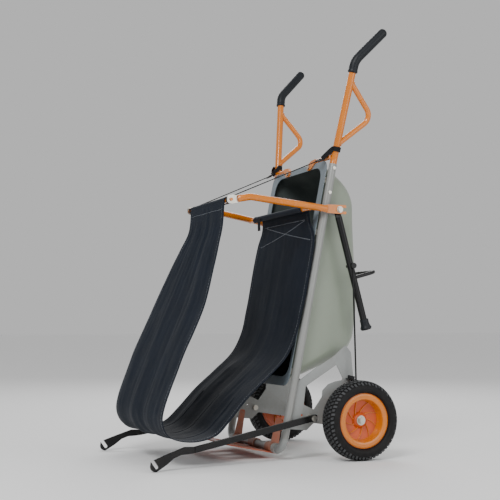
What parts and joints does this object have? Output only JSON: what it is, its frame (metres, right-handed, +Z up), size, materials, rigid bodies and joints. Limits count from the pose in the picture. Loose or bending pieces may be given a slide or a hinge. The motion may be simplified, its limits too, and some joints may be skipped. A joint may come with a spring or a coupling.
{
  "type": "wheelbarrow",
  "caption": "Upright two-wheeled yard cart with a steel tub, folding stand, toe plate and extension arms, and a lift-up frame that holds an open fabric log sling.",
  "frame": {"origin": "centre of the footprint at the ground, under the middle of the bounding box", "axes": "+X to the cart's right along the axle, -Y to the front where the arms and sling reach, +Z up"},
  "size_m": [0.6452, 0.8014, 1.381],
  "materials": {
    "galvanised_grey": "satin grey paint",
    "tub_grey": "satin warm grey paint, darker inside",
    "orange_paint": "gloss orange paint",
    "red_orange_paint": "satin red-orange paint",
    "black_paint": "satin black paint",
    "zinc": "zinc plated",
    "tyre_rubber": "matte, blocky tread",
    "grip_rubber": "matte ribbed rubber",
    "black_plastic": "matte moulded plastic",
    "sling_fabric": "coated woven fabric",
    "webbing": "woven strap",
    "cord": "braided cord"
  },
  "bodies": {
    "cart_frame": {"axle": "zinc", "axle_spacers": "black_paint", "axle_nuts": "zinc", "side_rail_right": "galvanised_grey", "side_rail_left": "galvanised_grey", "toe_tube": "galvanised_grey", "toe_collars": "galvanised_grey", "gusset_right": "galvanised_grey", "gusset_left": "galvanised_grey", "tub": "tub_grey", "tub_spacers": "zinc", "handle_right": "orange_paint", "handle_left": "orange_paint", "hand_loop_right": "orange_paint", "hand_loop_left": "orange_paint", "grip_right": "grip_rubber", "grip_left": "grip_rubber", "handle_foot_right": "orange_paint", "handle_foot_left": "orange_paint", "foot_bolts": "zinc", "stand_lugs": "galvanised_grey", "pivot_bolts": "zinc", "rail_rivets": "zinc", "link_guides": "black_paint", "arm_bolts": "zinc", "stay_cord_right": "cord", "stay_cord_left": "cord", "webbing_loops": "webbing", "buckles": "black_plastic"},
    "right_wheel": {"tyre_right": "tyre_rubber", "rim_right": "orange_paint"},
    "left_wheel": {"tyre_left": "tyre_rubber", "rim_left": "orange_paint"},
    "stand": {"leg_right": "black_paint", "leg_left": "black_paint", "stand_bar": "black_paint", "foot_right": "grip_rubber", "foot_left": "grip_rubber", "stand_knobs": "black_plastic"},
    "right_link": {"link_rod_right": "black_paint"},
    "left_link": {"link_rod_left": "black_paint"},
    "right_arm": {"arm_bar_right": "black_paint", "arm_hook_right": "black_paint"},
    "left_arm": {"arm_bar_left": "black_paint", "arm_hook_left": "black_paint"},
    "toe_plate_body": {"toe_plate": "red_orange_paint", "toe_sleeves": "red_orange_paint", "toe_ears": "red_orange_paint"},
    "sling_frame": {"side_tube_right": "orange_paint", "side_tube_left": "orange_paint", "fork_right": "orange_paint", "fork_left": "orange_paint", "tip_plates": "zinc", "front_cross_bar": "orange_paint", "rear_cross_bar": "orange_paint", "sling_panel": "sling_fabric", "front_loop": "sling_fabric", "rear_loop": "sling_fabric", "strap_tail": "webbing"}
  },
  "joints": [
    {"name": "right_wheel_spin", "type": "hinge", "parent": "cart_frame", "child": "right_wheel", "pos_m": [0.287, 0.2772, 0.1235], "axis": [1, 0, 0], "continuous": true},
    {"name": "left_wheel_spin", "type": "hinge", "parent": "cart_frame", "child": "left_wheel", "pos_m": [-0.287, 0.2772, 0.1235], "axis": [1, 0, 0], "continuous": true},
    {"name": "stand_fold", "type": "hinge", "parent": "cart_frame", "child": "stand", "pos_m": [0, 0.23469, 0.7873], "axis": [1, 0, 0], "range_deg": [0, 45]},
    {"name": "right_link_turn", "type": "hinge", "parent": "stand", "child": "right_link", "pos_m": [0.2394, 0.28319, 0.60877], "axis": [1, 0, 0], "range_deg": [-61.8, 0]},
    {"name": "left_link_turn", "type": "hinge", "parent": "stand", "child": "left_link", "pos_m": [-0.2394, 0.28319, 0.60877], "axis": [1, 0, 0], "range_deg": [-61.8, 0]},
    {"name": "right_arm_fold", "type": "hinge", "parent": "cart_frame", "child": "right_arm", "pos_m": [0.2315, 0.14072, 0.12984], "axis": [-1, 0, 0], "range_deg": [0, 105]},
    {"name": "left_arm_fold", "type": "hinge", "parent": "cart_frame", "child": "left_arm", "pos_m": [-0.2315, 0.14072, 0.12984], "axis": [-1, 0, 0], "range_deg": [0, 105]},
    {"name": "toe_plate_fold", "type": "hinge", "parent": "cart_frame", "child": "toe_plate_body", "pos_m": [0, 0.04588, 0.03484], "axis": [-1, 0, 0], "range_deg": [0, 90]},
    {"name": "sling_frame_lift", "type": "hinge", "parent": "cart_frame", "child": "sling_frame", "pos_m": [0, 0.23469, 0.7873], "axis": [-1, 0, 0], "range_deg": [0, 45], "deforming": ["stay_cord_right", "stay_cord_left"]}
  ],
  "couplings": [
    {"joint": "right_link_turn", "follows": "stand_fold", "ratio": -1.351},
    {"joint": "left_link_turn", "follows": "stand_fold", "ratio": -1.351}
  ]
}
